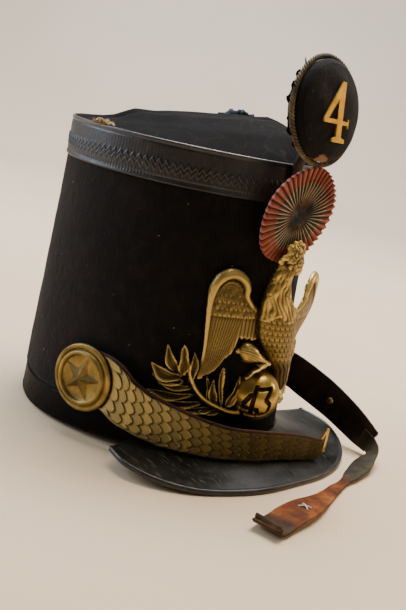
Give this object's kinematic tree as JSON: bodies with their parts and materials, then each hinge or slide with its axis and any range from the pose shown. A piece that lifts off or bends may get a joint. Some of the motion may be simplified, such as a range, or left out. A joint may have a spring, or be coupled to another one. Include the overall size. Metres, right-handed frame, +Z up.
{
  "type": "shako hat",
  "caption": "Tall felt military cap with a leather crown, bands and peak, a brass cockerel plate, a pleated cockade, a round cloth pompon and brass chin scales",
  "frame": {"origin": "on the flat underside of the felt at the middle of the rear rim", "axes": "+Z up, -Y towards the hat's front and peak, +X towards the wearer's left"},
  "size_m": [0.21, 0.2932, 0.2814],
  "materials": {
    "felt_body": "black wool felt with a short hairy nap, rubbed brown in places",
    "crown_top": "blackened leather, cracked and dusty",
    "top_band": "blackened leather, tooled, worn at the edge",
    "base_band": "glossy blackened leather",
    "peak": "scratched black lacquered leather",
    "peak_binding": "folded and stitched leather edge",
    "cockerel_plate": "stamped sheet, aged and rubbed bright on its high places",
    "cockade": "faded pleated cloth in red, olive grey and blue",
    "cockade_post": "plain, hidden behind the cockade",
    "pompon_body": "worn black cloth over padding",
    "pompon_backing": "brown leather",
    "pompon_cord": "twisted black and grey braid",
    "pompon_number": "thin cut brass",
    "pompon_stem": "dark brown leather",
    "strap_right": "dark brown leather backing",
    "strap_left": "dark brown leather backing",
    "scales_right": "aged stamped scales, some punched all over",
    "scales_left": "aged stamped scales, some punched all over",
    "boss_right": "stamped star on a grained field",
    "boss_left": "stamped star on a grained field",
    "clasp_right": "bright bent strip",
    "strap_rivet_left": "small domed rivet head",
    "tie_left": "soft brown leather, grey on its flesh side"
  },
  "bodies": {
    "root": {"felt_body": "felt_body", "crown_top": "crown_top", "top_band": "top_band", "base_band": "base_band", "peak": "peak", "peak_binding": "peak_binding", "cockerel_plate": "cockerel_plate", "cockade": "cockade", "cockade_post": "cockade_post", "pompon_body": "pompon_body", "pompon_backing": "pompon_backing", "pompon_cord": "pompon_cord", "pompon_number": "pompon_number", "pompon_stem": "pompon_stem", "strap_right": "strap_right", "strap_left": "strap_left", "scales_right": "scales_right", "scales_left": "scales_left", "boss_right": "boss_right", "boss_left": "boss_left", "clasp_right": "clasp_right", "strap_rivet_left": "strap_rivet_left", "tie_left": "tie_left"}
  },
  "joints": []
}
